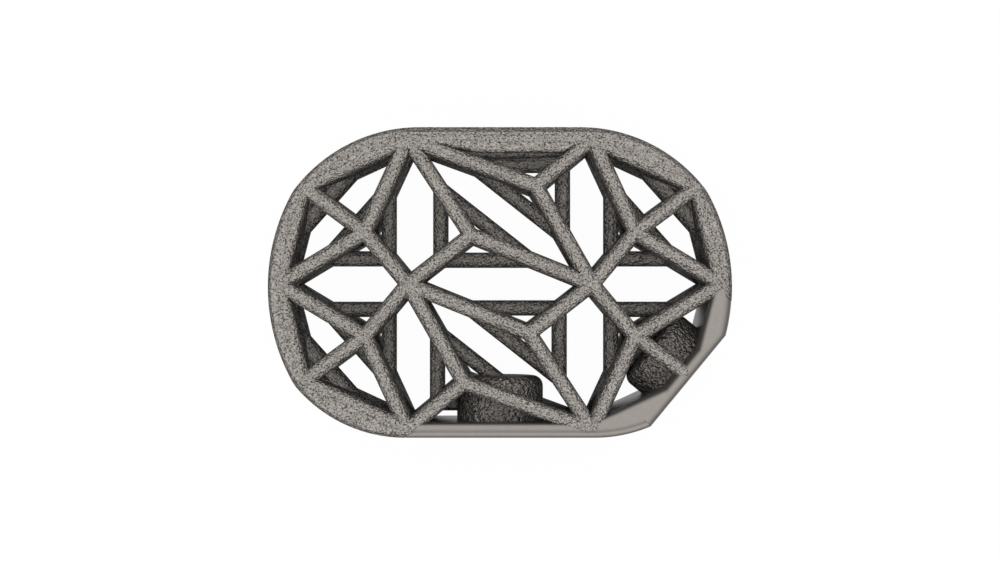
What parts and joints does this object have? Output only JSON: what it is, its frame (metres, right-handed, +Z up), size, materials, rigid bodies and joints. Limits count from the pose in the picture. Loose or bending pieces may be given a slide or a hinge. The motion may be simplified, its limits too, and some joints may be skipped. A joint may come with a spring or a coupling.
{
  "type": "spinal interbody cage",
  "caption": "Open truss interbody cage with a flat rim, a smooth chamfered insertion wall and threaded inserter sockets, printed in titanium.",
  "frame": {"origin": "under the middle of the outline, on the face that the cage rests on", "axes": "+X across the patient, +Y to the rear of the cage, +Z up through the disc space"},
  "size_m": [0.039, 0.0262, 0.012],
  "materials": {
    "printed_titanium": "as-printed titanium alloy, rough and grainy, with a machined satin insertion wall"
  },
  "bodies": {
    "root": {"truss_cage": "printed_titanium"}
  },
  "joints": []
}
